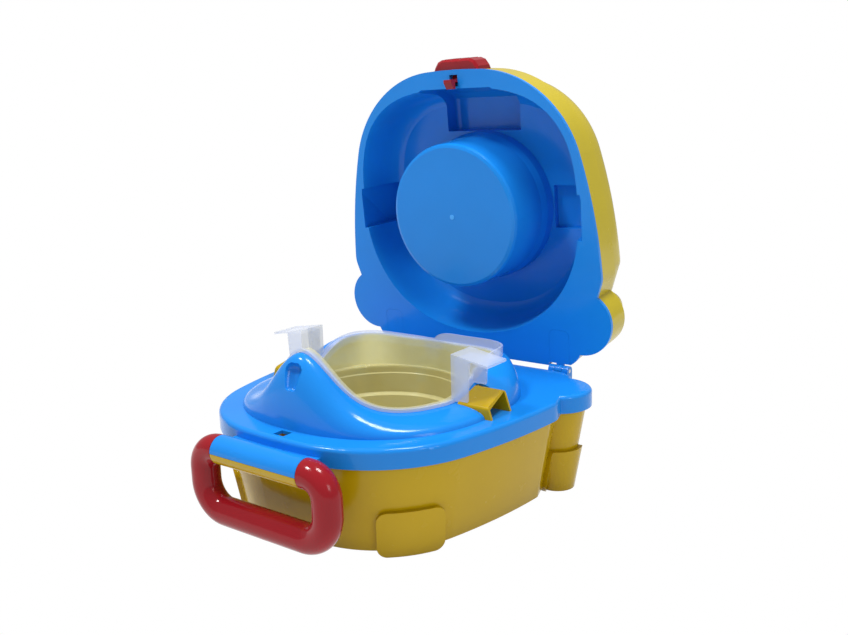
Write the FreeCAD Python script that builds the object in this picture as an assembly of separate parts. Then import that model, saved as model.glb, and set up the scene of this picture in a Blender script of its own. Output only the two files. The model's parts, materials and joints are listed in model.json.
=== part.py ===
import FreeCAD, Part
import math
import os
from FreeCAD import Vector

# Suitcase-style travel potty: a tub with a seat deck, a lift-out bowl, a hinged lid with a
# sealing plug, a push-button latch and a swinging carry handle.  Millimetres, +Z up.
# The parts are laid out about the hinge axis (x to the right, y to the back, z = 0 at the plane
# where deck and closed lid meet), and the whole assembly is moved at the end so that the origin
# lies under the centre of the standing object.  The lid is drawn closed, then swung open.

# ---- general sizes -----------------------------------------------------------------------
WALL = 2.5                   # moulded wall of the tub, lid and seat
DECK_T = 3.0                 # deck plate thickness
FIT = 0.3                    # gap between separate mouldings
RUN = 0.06                   # running clearance, radial
TIGHT = 0.02                 # clearance of pressed and screwed parts, radial
SEAM = 0.4                   # gap between deck and closed lid
OPEN_ANGLE = 84.25           # lid's opening, from closed to its stop

# ---- outline shared by deck and lid ------------------------------------------------------
FRONT_Y = 300.7              # front edge, ahead of the hinge axis
BACK_Y = 3.0                 # back edge, ahead of the hinge axis
FRONT_R = 530.0              # front arc radius
FRONT_TURN = 3.4             # where the front arc ends, degrees from straight ahead
SHOULDER_R = 113.0           # front corner radius
SHOULDER_TURN = 74.2         # where the front corner ends
SIDE_R = 550.0               # bowed side radius
SIDE_TURN = 86.5             # where the side ends
HIP_R = 26.0                 # rear end of the side
BACK_HALF = 130.0            # half width at the back corners
BACK_R = 26.0                # back corner radius
LOBE_X = 129.0               # rear lobes
LOBE_Y = 52.0
LOBE_R = 33.3

# ---- tub ----------------------------------------------------------------------------------
TUB_H = 95.0                 # from the meeting plane down to the tub's underside
PAD_DROP = 5.0               # feet below the tub's underside
PAD_TOP = 42.0               # height of the feet up the walls
PAD_PROUD = 4.0              # feet stand out of the walls
TUB_DRAFT = 16.0             # inward lean of the walls from rim to floor
PAD_ROUND = 9.0              # rounding of their corners
PAD_W = 58.0                 # width of a front foot round its corner
REAR_PAD_W = 46.0            # width of a rear foot

# ---- deck and seat ------------------------------------------------------------------------
APRON_H = 17.0               # height of the blue rim side
EDGE_R = 4.0                 # rounding of the deck's outer edge
BOWL_Y = 157.0               # bowl centre, ahead of the hinge axis
SEAT_A = 125.0               # seat foot: half width, front reach, rear reach
SEAT_FRONT = 124.0
SEAT_REAR = 101.0
CROWN_W = 1.5                # flat crown outside the bowl's flange
THUMB_R = 11.0               # thumb recess in the splash guard: radius, length, top end's place
THUMB_L = 24.0
THUMB_Z = 57.0
THUMB_IN = 8.0
THUMB_LEAN = 16.0            # leans back with the guard's face
SIDE_H = 9.0                 # seat height beside the bowl
POMMEL_H = 54.0              # front splash guard above the side height
POMMEL_W = 41.0              # width of its bell shape
HUMP_H = 23.0                # rear of the seat above the side height
HUMP_Y = 175.0               # where that rise starts, ahead of the hinge
HUMP_RUN = 70.0              # length of the rise
COLLAR = 7.0                 # depth of the seat's inner edge

# ---- bowl ---------------------------------------------------------------------------------
FLANGE_A = 93.0              # flange: half width, front reach, rear reach
FLANGE_FRONT = 105.0
FLANGE_REAR = 87.5
FLANGE_W = 7.0               # flange width on the seat
FLANGE_T = 2.0
BOWL_T = 2.0
LEDGE_Z = 6.0                # ring between funnel and well
WELL_R = 76.0                # inner radius at its top
WELL_GAP = 11.0              # well's underside above the tub's underside
WELL_DEPTH = TUB_H - WELL_GAP
SPLASH_H = 7.5               # raised wall round the rear half of the flange
SPLASH_T = 2.0
BEAD_H = 0.8                   # bead round the rest of the flange

# ---- lift tabs of the bowl and the yellow finger channels below them -----------------------
TAB_Y = 155.5                # centre of tabs and channels, ahead of the hinge
TAB_L = 31.0                 # tab length along the side
TAB_IN = 94.0                # inner face
TAB_LEG = 14.0               # channel legs
TAB_OUT = 126.5              # outer edge of the grip plate
TAB_TOP = 52.0               # grip plate height at its inner edge
TAB_T = 2.2
CHAN_L = 33.0                # finger channel length along the side
CHAN_IN = 96.0
CHAN_OUT = 131.0
CHAN_LEAN = 7.0              # outer end leans in towards its top
CHAN_FRONT_H = 11.0
CHAN_REAR_H = 20.0
CHAN_T = 2.5

# ---- lid ----------------------------------------------------------------------------------
RIM_T = 4.0                  # liner's rim thickness
RECESS_A = 131.5             # recess mouth: half width, front reach, rear reach
RECESS_FRONT = 126.0
RECESS_REAR = 129.0
RECESS_DEPTH = 50.0
RECESS_DRAFT = 12.0
PLUG_R = 74.0
SWING_ROOM = 8.0              # extra room behind the plug for its swing
PLUG_PROUD = 20.0
SHELL_SIDE = 35.0            # depth of the lid shell's lower tier
SHELL_STEP = 6.0             # step in to its upper tier
SHELL_DEPTH = 79.0
POCKET_HALF = 134.5          # side pockets for the lift tabs
POCKET_L = 44.0
NOSE_ROUND = 5.0
POCKET_INSET = 9.0
POCKET_DEPTH = 57.0
NOSE_HALF = 45.0             # pocket for the splash guard
NOSE_DEPTH = 70.0
NOSE_GAP = 18.2              # pocket's front end behind the lid's front edge
NOSE_REACH = FRONT_Y - NOSE_GAP

# ---- hinges -------------------------------------------------------------------------------
HINGE_X = 105.0
HINGE_W = 22.0
BARREL_R = 5.0
PIN_R = 2.0
PLATE_L = 42.0
PLATE_T = 2.6
PLATE_ROUND = 6.0
BARREL_W = 8.0

# ---- latch --------------------------------------------------------------------------------
LATCH_Y = 291.0              # latch pin, ahead of the hinge
LATCH_Z = 9.0                # and above the meeting plane
LATCH_PIN_R = 1.5
BUTTON_W = 52.0
BUTTON_H = 25.0
BUTTON_OUT = 10.0            # button in front of the shell
HOOK_W = 9.0
HOOK_T = 3.0
HOOK_DROP = 10.5
LATCH_ROOM = 8.0              # half width of the notch in the tub under the slot
CATCH = 6.2                  # reach of the catch
SLOT_W = 12.0
SLOT_L = 10.5
SLOT_Y = 289.75

# ---- carry handle -------------------------------------------------------------------------
BAR_Y = 315.0                # handle axis, ahead of the hinge
BAR_Z = -16.0
BAR_R = 12.5
BAR_HALF = 49.0
SPINDLE_R = 4.0
GRIP_R = 12.5
LEG_X = 70.5
GRIP_Z = -71.5
ELBOW_R = 18.0
CORNER_R = 25.0
GRIP_WALL = 2.8

# ---- screws -------------------------------------------------------------------------------
SCREW_R = 2.0
SCREW_HEAD_R = 3.8
SCREW_HEAD_H = 2.6
POST_R = 6.5
SEAT_POST_TOP = 5.0
POST_Z = -26.0               # joint between the tub's pillars and the deck's posts
SCREW_SPOTS = [(88.0, 238.0), (120.0, 50.0), (45.0, 34.0)]

UP = Vector(0, 0, 1)
FLOOR = -TUB_H - PAD_DROP


# ---- small helpers ------------------------------------------------------------------------
def box(x0, x1, y0, y1, z0, z1):
    return Part.makeBox(x1 - x0, y1 - y0, z1 - z0, Vector(x0, y0, z0))


def cyl(r, base, axis, length):
    return Part.makeCylinder(r, length, base, axis)


def mirrored(shape):
    return shape.mirror(Vector(0, 0, 0), Vector(1, 0, 0))


def both(shape):
    return [shape, mirrored(shape)]


def heading(turn):
    t = math.radians(turn)
    return Vector(math.sin(t), -math.cos(t), 0)


def slab(points, axis, start, end):
    """Prism of a closed polygon; its points are (a, b) pairs in the plane across the axis."""
    if axis == "x":
        corners = [Vector(start, a, b) for a, b in points]
        run = Vector(end - start, 0, 0)
    else:
        corners = [Vector(a, start, b) for a, b in points]
        run = Vector(0, end - start, 0)
    return Part.Face(Part.makePolygon(corners + corners[:1])).extrude(run)


def merged(shape):
    """Joins faces that lie on one surface, where the solid stays sound."""
    joined = shape.removeSplitter()
    return joined if joined.isValid() and joined.Volume > 0 else shape


def edges_near(shape, test):
    return [e for e in shape.Edges if test(e)]


# ---- outline of deck and lid ---------------------------------------------------------------
def body_wire(inset, z):
    """Main outline without its rear lobes, moved in by inset."""
    c1 = Vector(0, FRONT_R - FRONT_Y, 0)
    c2 = c1 + heading(FRONT_TURN) * (FRONT_R - SHOULDER_R)
    c3 = c2 - heading(SHOULDER_TURN) * (SIDE_R - SHOULDER_R)
    c4 = c3 + heading(SIDE_TURN) * (SIDE_R - HIP_R)
    c6 = Vector(BACK_HALF - BACK_R, -BACK_Y - BACK_R, 0)
    slant = math.degrees(math.atan2(c6.y - c4.y, c6.x - c4.x)) % 360
    neck_turn = slant + math.degrees(math.asin((HIP_R - BACK_R) / c6.distanceToPoint(c4)))
    arcs = [(c1, FRONT_R, 0, FRONT_TURN),
            (c2, SHOULDER_R, FRONT_TURN, SHOULDER_TURN),
            (c3, SIDE_R, SHOULDER_TURN, SIDE_TURN),
            (c4, HIP_R, SIDE_TURN, neck_turn),
            (c6, BACK_R, neck_turn, 180)]
    right = []
    for centre, radius, start, end in arcs:
        r = radius - inset
        spots = [centre + heading(t) * r + UP * z for t in (start, (start + end) / 2, end)]
        if right:
            spots[0] = right[-1][-1] if right[-1][-1].distanceToPoint(spots[0]) < 1e-6 else spots[0]
            if right[-1][-1].distanceToPoint(spots[0]) > 1e-6:
                right.append([right[-1][-1], spots[0]])
        right.append(spots)
    left = [[Vector(-p.x, p.y, p.z) for p in reversed(run)] for run in reversed(right)]
    runs = right + [[right[-1][-1], left[0][0]]] + left
    edges = [Part.Arc(*run).toShape() if len(run) == 3 else Part.makeLine(*run) for run in runs]
    return Part.Wire(edges)


def outline_solid(inset_low, z_low, inset_high, z_high):
    """Solid between two insets of the full outline, with its rear lobes."""
    body = Part.makeLoft([body_wire(inset_low, z_low), body_wire(inset_high, z_high)], True, True)
    lobes = []
    for x in (-LOBE_X, LOBE_X):
        base = Vector(x, -LOBE_Y, z_low)
        r_low = LOBE_R - inset_low
        r_high = LOBE_R - inset_high
        if abs(r_low - r_high) < 1e-6:
            lobes.append(cyl(r_low, base, UP, z_high - z_low))
        else:
            lobes.append(Part.makeCone(r_low, r_high, z_high - z_low, base, UP))
    return body.fuse(lobes).removeSplitter()


# ---- rings round the bowl ------------------------------------------------------------------
def oval(phi, a, front, rear, n_front, n_rear):
    """Radius of a rounded outline about the bowl's centre; phi is measured from the front."""
    s, c = abs(math.sin(math.radians(phi))), math.cos(math.radians(phi))
    reach, n = (front, n_front) if c >= 0 else (rear, n_rear)
    return ((s / a) ** n + (abs(c) / reach) ** n) ** (-1.0 / n)


def flange_r(phi):
    return oval(phi, FLANGE_A, FLANGE_FRONT, FLANGE_REAR, 2.0, 7.0)


def mouth_r(phi):
    """Inner edge of the bowl's flange; at the rear it leaves room for the plug's swing."""
    rearward = max(0.0, -math.cos(math.radians(phi)))
    swing = PLUG_R + 0.5 + SWING_ROOM * rearward ** 2
    return max(flange_r(phi) - FLANGE_W - FIT - BOWL_T, WELL_R + 1.6, swing)


def seat_edge_r(phi):
    return mouth_r(phi) + BOWL_T + FIT


def crown_r(phi):
    return max(flange_r(phi) + CROWN_W, seat_edge_r(phi) + WALL + 0.5)


def foot_r(phi):
    return oval(phi, SEAT_A, SEAT_FRONT, SEAT_REAR, 2.3, 3.0)


def recess_r(phi):
    return oval(phi, RECESS_A, RECESS_FRONT, RECESS_REAR, 2.9, 2.15)


def smooth(t):
    t = min(max(t, 0.0), 1.0)
    return t * t * (3 - 2 * t)


def seat_h(phi):
    """Height of the seat's crown: low at the sides, high at the front and the rear."""
    reach = crown_r(phi)
    x = reach * math.sin(math.radians(phi))
    ahead = BOWL_Y + reach * math.cos(math.radians(phi))
    bell = math.exp(-(x / POMMEL_W) ** 2) if ahead > BOWL_Y else 0.0
    return SIDE_H + POMMEL_H * bell + HUMP_H * smooth((HUMP_Y - ahead) / HUMP_RUN)


def at(phi, r, z):
    return Vector(0, -BOWL_Y, z) + heading(phi) * r


def turns(step, start=-180.0, end=180.0):
    n = int(round((end - start) / step))
    return [start + i * (end - start) / n for i in range(n + 1)]


def ring(section, step=10.0):
    """Closed ring lofted through the sections, which are lists of runs of (r, z) points."""
    wires = []
    for phi in turns(step)[:-1]:
        edges = []
        for run in section(phi):
            spots = [at(phi, r, z) for r, z in run]
            if len(spots) == 2:
                edges.append(Part.makeLine(*spots))
            else:
                curve = Part.BSplineCurve()
                curve.interpolate(spots)
                edges.append(curve.toShape())
        wires.append(Part.Wire(edges))
    return Part.makeLoft(wires, True, False, True)


def closed_runs(points):
    return [[points[i], points[(i + 1) % len(points)]] for i in range(len(points))]


def oval_wire(radius, z, step=7.5):
    curve = Part.BSplineCurve()
    curve.interpolate([at(phi, radius(phi), z) for phi in turns(step)[:-1]], PeriodicFlag=True)
    return Part.Wire(curve.toShape())


def oval_solid(levels):
    """Solid lofted through round outlines, each given as (radius function, z)."""
    return Part.makeLoft([oval_wire(radius, z) for radius, z in levels], True, False)


def grown(radius, by):
    return lambda phi: radius(phi) + by


# ---- seat deck -----------------------------------------------------------------------------
def flank(phi, inset):
    """Seat's rounded side from foot to crown, moved in by inset."""
    crown = crown_r(phi)
    reach = foot_r(phi) - inset - crown
    height = seat_h(phi) - inset
    return [(crown + reach * math.cos(math.radians(q)), height * math.sin(math.radians(q)))
            for q in (0, 20, 40, 60, 75, 90)]


def seat_section(phi):
    """Seat shell: rounded flank, flat crown and an inner collar."""
    foot = foot_r(phi)
    inner = seat_edge_r(phi)
    top = seat_h(phi)
    sink = -DECK_T
    outer = flank(phi, 0)
    inside = flank(phi, WALL)[::-1]
    return [[(foot, sink), outer[0]],
            outer,
            [outer[-1], (inner, top)],
            [(inner, top), (inner, top - COLLAR)],
            [(inner, top - COLLAR), (inner + WALL, top - COLLAR)],
            [(inner + WALL, top - COLLAR), (inner + WALL, top - WALL)],
            [(inner + WALL, top - WALL), inside[0]],
            inside,
            [inside[-1], (foot - WALL, sink)],
            [(foot - WALL, sink), (foot, sink)]]


def bar_half(upper):
    """Half of the hollow bar that carries the handle, with its bearing ribs."""
    centre = Vector(-BAR_HALF, -BAR_Y, BAR_Z)
    along = Vector(1, 0, 0)
    length = 2 * BAR_HALF
    tube = cyl(BAR_R, centre, along, length).cut(cyl(BAR_R - WALL, centre, along, length))
    for x in (-BAR_HALF, -BAR_HALF / 3, BAR_HALF / 3 - 4.0, BAR_HALF - 4.0):
        tube = tube.fuse(cyl(BAR_R - WALL / 2, Vector(x, -BAR_Y, BAR_Z), along, 4.0))
    tube = tube.cut(cyl(SPINDLE_R + TIGHT, centre, along, length))
    low, high = (BAR_Z, BAR_Z + 50) if upper else (BAR_Z - 50, BAR_Z - FIT)
    return tube.common(box(-BAR_HALF, BAR_HALF, -BAR_Y - 50, -BAR_Y + 50, low, high))


def channel_envelope(clear):
    """Outer shape of a finger channel on the right side, grown by a clearance."""
    front = -TAB_Y - CHAN_L / 2 - clear
    rear = -TAB_Y + CHAN_L / 2 + clear
    body = slab([(front, 0), (front, CHAN_FRONT_H + clear), (rear, CHAN_REAR_H + clear), (rear, 0)],
                "x", CHAN_IN - clear, CHAN_OUT + 20)
    end = slab([(CHAN_OUT + clear, -1), (CHAN_OUT + clear - CHAN_LEAN * 1.05, CHAN_REAR_H + 1),
                (CHAN_OUT + 40, CHAN_REAR_H + 1), (CHAN_OUT + 40, -1)],
               "y", front - 5, rear + 5)
    return body.cut(end)


def under_skin(phi):
    """All that lies just under the seat's skin, from its flank in to its inner edge."""
    outer = flank(phi, WALL / 2)
    inner = seat_edge_r(phi) + WALL / 2
    foot = outer[0][0]
    return [[(foot, -1), outer[0]], outer, [outer[-1], (inner, outer[-1][1])],
            [(inner, outer[-1][1]), (inner, -1)], [(inner, -1), (foot, -1)]]


def thumb_form(extra):
    """Leaning drop with rounded ends, for the thumb recess and for the wall behind it."""
    front_y = -BOWL_Y - SEAT_FRONT
    head = Vector(0, front_y + THUMB_IN, THUMB_Z)
    drop = Part.makeCone(THUMB_R / 2 + extra, THUMB_R + extra, THUMB_L + 2 * extra,
                         head - UP * (THUMB_L + extra), UP)
    for z, size in ((extra, THUMB_R * 0.6), (-THUMB_L - extra, THUMB_R * 0.3)):
        drop = drop.makeFillet(size + extra / 2, edges_near(
            drop, lambda e: abs(e.CenterOfMass.z - THUMB_Z - z) < 0.1 and e.Length > THUMB_R))
    drop.rotate(head, Vector(1, 0, 0), -THUMB_LEAN)
    return drop


def make_deck():
    skin = outline_solid(0, -APRON_H, 0, 0)
    rim = edges_near(skin, lambda e: e.BoundBox.ZMin > -0.01)
    skin = skin.makeFillet(EDGE_R, rim)
    hollow = outline_solid(WALL, -APRON_H - 1, WALL, -DECK_T)
    deck = skin.cut(hollow)
    deck = deck.cut(oval_solid([(grown(foot_r, -WALL / 2), -DECK_T - 1),
                                (grown(foot_r, -WALL / 2), 1)]))
    deck = deck.fuse(ring(seat_section))
    deck = deck.cut(box(-SLOT_W / 2, SLOT_W / 2, -SLOT_Y - SLOT_L / 2, -SLOT_Y + SLOT_L / 2, -12, 3))
    # handle bar: web from the apron to the upper half of the bar
    web = box(-BAR_HALF, BAR_HALF, -BAR_Y, -FRONT_Y + 5.5, BAR_Z, BAR_Z + 7.0)
    web = web.cut(cyl(BAR_R - 0.5, Vector(-BAR_HALF, -BAR_Y, BAR_Z), Vector(1, 0, 0), 2 * BAR_HALF))
    web = web.cut(hollow)
    deck = deck.fuse([web, bar_half(True)])
    # seats for the finger channels, floored by the deck's plate
    floor = box(CHAN_IN - WALL, CHAN_OUT - 3, -TAB_Y - CHAN_L / 2 - WALL, -TAB_Y + CHAN_L / 2 + WALL, -DECK_T, 0)
    deck = deck.fuse(both(floor))
    for envelope in both(channel_envelope(FIT)):
        deck = deck.cut(envelope)
    # thumb recess in the splash guard
    deck = deck.fuse(thumb_form(WALL).common(ring(under_skin))).cut(thumb_form(0))
    # screw posts
    for x, ahead in SCREW_SPOTS:
        # the front posts stand under the seat's flank and reach up into it
        top = SEAT_POST_TOP if ahead > BOWL_Y else -DECK_T
        post = cyl(POST_R, Vector(x, -ahead, POST_Z), UP, top - POST_Z)
        bore = cyl(SCREW_R + TIGHT, Vector(x, -ahead, POST_Z - 1), UP, 16)
        deck = deck.fuse(both(post)).cut(Part.makeCompound(both(bore)))
    # hinge ears: two at each hinge, with a gap for the lid's barrel between them
    ear_w = (HINGE_W - BARREL_W) / 2 - FIT
    for x in (HINGE_X - HINGE_W / 2, HINGE_X + HINGE_W / 2 - ear_w):
        ear = cyl(BARREL_R, Vector(x, 0, 0), Vector(1, 0, 0), ear_w)
        root = box(x, x + ear_w, -BACK_Y - WALL, BARREL_R, -APRON_H, 0)
        deck = deck.fuse(both(ear.fuse(root)))
    gap = box(HINGE_X - BARREL_W / 2 - FIT, HINGE_X + BARREL_W / 2 + FIT, -BARREL_R - 1.5, BARREL_R + 1,
              -BARREL_R - 1.5, BARREL_R)
    pin = cyl(PIN_R + TIGHT, Vector(HINGE_X - HINGE_W / 2 - 1, 0, 0), Vector(1, 0, 0), HINGE_W + 2)
    deck = deck.cut(Part.makeCompound(both(gap) + both(pin)))
    return deck


# ---- tub -----------------------------------------------------------------------------------
def tub_inset(z):
    """Distance of the tub's outer wall inside the deck's outline at a height."""
    return WALL + FIT + TUB_DRAFT * (-z - DECK_T) / (TUB_H - DECK_T)


def make_tub():
    top = -DECK_T - FIT
    outer = outline_solid(tub_inset(-TUB_H), -TUB_H, tub_inset(top), top)
    floor_z = -TUB_H + WALL
    inner = outline_solid(tub_inset(floor_z) + WALL, floor_z, tub_inset(top + 1) + WALL, top + 1)
    # feet: thicker stretches of the wall at the corners, reaching below the floor
    pad_z = FLOOR + PAD_TOP
    shell = outline_solid(tub_inset(FLOOR) - PAD_PROUD, FLOOR, tub_inset(pad_z) - PAD_PROUD, pad_z)
    feet = []
    for x, ahead, turn, width in ((98, 246, 42, PAD_W), (136, 58, 88, REAR_PAD_W)):
        block = box(-width / 2, width / 2, -45, 45, FLOOR, pad_z)
        ends = edges_near(block, lambda e: abs(e.CenterOfMass.x) > width / 2 - 1)
        block = block.makeFillet(PAD_ROUND, ends)
        block.rotate(Vector(0, 0, 0), UP, turn)
        block.translate(Vector(x, -ahead, 0))
        feet.extend(both(block.common(shell)))
    tub = outer.fuse(feet).cut(inner)
    # lower half of the handle bar on a short shelf
    shelf = box(-BAR_HALF, BAR_HALF, -BAR_Y, -FRONT_Y + 6.5, BAR_Z - 8.0, -APRON_H - FIT)
    shelf = shelf.cut(cyl(BAR_R - 0.5, Vector(-BAR_HALF, -BAR_Y, BAR_Z), Vector(1, 0, 0), 2 * BAR_HALF))
    tub = tub.fuse([shelf.cut(inner), bar_half(False)])
    notch = box(-LATCH_ROOM, LATCH_ROOM, -FRONT_Y, -SLOT_Y + SLOT_L, -LATCH_ROOM - 6, 0)
    tub = tub.cut(notch)
    # pillars for the deck screws, open from below
    for x, ahead in SCREW_SPOTS:
        pillar = cyl(POST_R, Vector(x, -ahead, -TUB_H), UP, POST_Z - FIT + TUB_H)
        well = cyl(SCREW_HEAD_R + 0.4, Vector(x, -ahead, -TUB_H - 1), UP, POST_Z - WALL + TUB_H + 1)
        bore = cyl(SCREW_R + 0.2, Vector(x, -ahead, POST_Z - 10), UP, 20)
        tub = tub.fuse(both(pillar)).cut(Part.makeCompound(both(well) + both(bore)))
    return merged(tub)


def make_deck_screws():
    screws = []
    for x, ahead in SCREW_SPOTS:
        seat = POST_Z - WALL
        head = cyl(SCREW_HEAD_R, Vector(x, -ahead, seat - SCREW_HEAD_H), UP, SCREW_HEAD_H)
        shank = cyl(SCREW_R, Vector(x, -ahead, seat), UP, 15)
        cross = box(x - 2.2, x + 2.2, -ahead - 0.5, -ahead + 0.5, seat - SCREW_HEAD_H - 1, seat - SCREW_HEAD_H + 1.2)
        screws.extend(both(head.fuse(shank).cut(cross)))
    return Part.makeCompound(screws)


# ---- finger channel ------------------------------------------------------------------------
def make_channel():
    front = -TAB_Y - CHAN_L / 2
    rear = -TAB_Y + CHAN_L / 2
    body = channel_envelope(0)
    upper = edges_near(body, lambda e: e.CenterOfMass.z > 9 and abs(e.CenterOfMass.x - 112) < 9
                       and e.Length > 20)
    body = body.makeFillet(4.0, upper)
    inside = slab([(front + CHAN_T, -1), (front + CHAN_T, CHAN_FRONT_H - CHAN_T),
                   (rear - CHAN_T, CHAN_REAR_H - CHAN_T), (rear - CHAN_T, -1)],
                  "x", CHAN_IN + CHAN_T, CHAN_OUT + 20)
    return body.cut(inside)


# ---- bowl ----------------------------------------------------------------------------------
def bowl_section(phi):
    """Flange on the seat with its splash wall, and the funnel down to the ledge ring."""
    edge = flange_r(phi)
    mouth = mouth_r(phi)
    foot = WELL_R + 1.0 + 0.45 * (mouth - WELL_R - 1.0)
    under = seat_h(phi) + FIT
    over = under + FLANGE_T
    crest = over + BEAD_H + (SPLASH_H - BEAD_H) * smooth((100.0 - abs(180.0 - phi)) / 24.0)
    return closed_runs([(edge, under), (edge, crest), (edge - SPLASH_T, crest), (edge - SPLASH_T, over),
                        (mouth, over), (foot, LEDGE_Z), (WELL_R + 0.4, LEDGE_Z),
                        (WELL_R + 0.4, LEDGE_Z - BOWL_T), (foot + BOWL_T, LEDGE_Z - BOWL_T),
                        (mouth + BOWL_T, under)])


def make_bowl():
    # well: two shallow steps and a rounded floor, turned about the bowl's centre
    r = WELL_R
    step = -PLUG_PROUD - 1.5
    inside = [(r, LEDGE_Z - 0.6), (r, -1.0), (r - 0.8, -2.0), (r - 1.0, step), (r - 5.0, step - 2.5),
              (r - 12.0, -WELL_DEPTH + 9.0), (r - 19.0, -WELL_DEPTH + BOWL_T), (0, -WELL_DEPTH + BOWL_T)]
    outside = [(0, -WELL_DEPTH), (r - 18.0, -WELL_DEPTH), (r - 10.0, -WELL_DEPTH + 8.0),
               (r - 3.0, step - 3.5), (r + 1.0, step - 1.5), (r + 1.2, -2.5),
               (r + BOWL_T, -1.0), (r + BOWL_T, LEDGE_Z - 0.6)]
    profile = Part.makePolygon([at(90, a, b) for a, b in inside + outside + inside[:1]])
    well = Part.Face(profile).revolve(Vector(0, -BOWL_Y, 0), UP, 360)
    bowl = ring(bowl_section).fuse(well)
    for tab in both(make_tab()):
        bowl = bowl.fuse(tab)
    return bowl


def tab_foot(y):
    """Middle of the flange's thickness under the tab, at the flange's edge."""
    phi = math.degrees(math.atan2(FLANGE_A, -y - BOWL_Y))
    return seat_h(phi) + FIT + FLANGE_T / 2


def make_tab():
    """Lift tab on the right: an upright channel with a grip plate over the finger channel."""
    front = -TAB_Y - TAB_L / 2
    rear = -TAB_Y + TAB_L / 2
    foot = 0.0
    drop = 5.0
    side = [(TAB_IN - 5, foot), (TAB_IN - 5, TAB_TOP + 1.0), (TAB_OUT, TAB_TOP - drop),
            (TAB_OUT, TAB_TOP - drop - TAB_T), (TAB_IN + TAB_LEG, TAB_TOP - TAB_T - 1.5),
            (TAB_IN + TAB_LEG - 3, foot)]
    block = slab(side, "y", front, rear)
    room = box(TAB_IN - 5 + TAB_T, TAB_OUT + 5, front + TAB_T, rear - TAB_T, 0, TAB_TOP - TAB_T - 1.0)
    plate_top = slab([(TAB_IN - 6, TAB_TOP - TAB_T + 1.2), (TAB_OUT + 1, TAB_TOP - drop - TAB_T - 0.2),
                      (TAB_OUT + 1, TAB_TOP + 9), (TAB_IN - 6, TAB_TOP + 9)], "y", front - 1, rear + 1)
    tab = block.cut(room.cut(plate_top))
    spots = [front - 1 + i * (TAB_L + 2) / 4 for i in range(5)]
    below = [(y, tab_foot(y)) for y in spots] + [(rear + 1, -1), (front - 1, -1)]
    return tab.cut([slab(below, "x", 60, 150), channel_envelope(FIT)])


# ---- lid, drawn closed ---------------------------------------------------------------------
def make_liner():
    rim = outline_solid(0, SEAM, 0, SEAM + RIM_T)
    mouth = grown(recess_r, 0)
    cavity = oval_solid([(mouth, SEAM - 1), (grown(recess_r, -RECESS_DRAFT * 0.45), RECESS_DEPTH * 0.6),
                         (grown(recess_r, -RECESS_DRAFT), RECESS_DEPTH * 0.9),
                         (grown(recess_r, -RECESS_DRAFT - 8), RECESS_DEPTH)])
    hood = oval_solid([(grown(recess_r, WALL), SEAM), (grown(recess_r, WALL - RECESS_DRAFT * 0.45), RECESS_DEPTH * 0.6),
                       (grown(recess_r, WALL - RECESS_DRAFT), RECESS_DEPTH * 0.9 + WALL),
                       (grown(recess_r, -RECESS_DRAFT - 8), RECESS_DEPTH + WALL)])
    rooms = [cavity]
    hoods = [hood]
    pocket_y = (-TAB_Y - POCKET_L / 2 - 2, -TAB_Y + POCKET_L / 2 - 2)
    pocket = box(TAB_IN - 14, POCKET_HALF, pocket_y[0], pocket_y[1], SEAM - 1, POCKET_DEPTH)
    pocket = pocket.common(outline_solid(POCKET_INSET, SEAM - 1, POCKET_INSET + 9, POCKET_DEPTH + 1))
    pocket_hood = box(TAB_IN - 14 - WALL, POCKET_HALF + WALL, pocket_y[0] - WALL, pocket_y[1] + WALL,
                      SEAM, POCKET_DEPTH + WALL)
    pocket_hood = pocket_hood.common(outline_solid(POCKET_INSET - WALL, SEAM - 1, POCKET_INSET + 9 - WALL, POCKET_DEPTH + 4))
    tail = -BOWL_Y - PLUG_R - 4

    def inner_edge(edge):
        """An edge along the pocket's flanks, away from its mouth and from the plug."""
        middle = edge.CenterOfMass
        return abs(middle.x) > NOSE_HALF - 1 and middle.z > SEAM + 2 and middle.y < tail - 2

    nose = slab([(-NOSE_REACH, SEAM - 1), (-NOSE_REACH, 48), (-NOSE_REACH + 8.5, 66),
                 (-NOSE_REACH + 14.5, NOSE_DEPTH), (tail, NOSE_DEPTH), (tail, SEAM - 1)],
                "x", -NOSE_HALF, NOSE_HALF)
    nose = nose.makeFillet(NOSE_ROUND, edges_near(nose, inner_edge))
    nose_hood = slab([(-NOSE_REACH - WALL, SEAM), (-NOSE_REACH - WALL, 49), (-NOSE_REACH + 6, 68),
                      (-NOSE_REACH + 12.5, NOSE_DEPTH + WALL), (tail + WALL, NOSE_DEPTH + WALL),
                      (tail + WALL, SEAM)], "x", -NOSE_HALF - WALL, NOSE_HALF + WALL)
    nose_hood = nose_hood.makeFillet(NOSE_ROUND + WALL, edges_near(nose_hood, inner_edge))
    rooms += both(pocket) + [nose]
    hoods += both(pocket_hood) + [nose_hood]
    liner = rim
    for solid in hoods:
        liner = liner.fuse(solid)
    for room in rooms:
        liner = liner.cut(room)
    # sealing plug: a hollow drum with a flared foot
    face = -PLUG_PROUD
    outer = [(0, face), (PLUG_R - 4, face), (PLUG_R - 1.2, face + 1.2), (PLUG_R, face + 4),
             (PLUG_R + 1.5, 30), (PLUG_R + 4, 38), (PLUG_R + 4.5, RECESS_DEPTH + WALL)]
    inner = [(PLUG_R + 2, RECESS_DEPTH + WALL), (PLUG_R - 1, 30), (PLUG_R - WALL, face + 4),
             (PLUG_R - 5, face + WALL), (0, face + WALL)]
    drum = Part.Face(Part.makePolygon([at(90, a, b) for a, b in outer + inner + outer[:1]]))
    drum = drum.revolve(Vector(0, -BOWL_Y, 0), UP, 360)
    core = cyl(PLUG_R + 1, Vector(0, -BOWL_Y, RECESS_DEPTH - 1), UP, WALL + 3)
    return liner.cut(core).fuse(drum)


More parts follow.
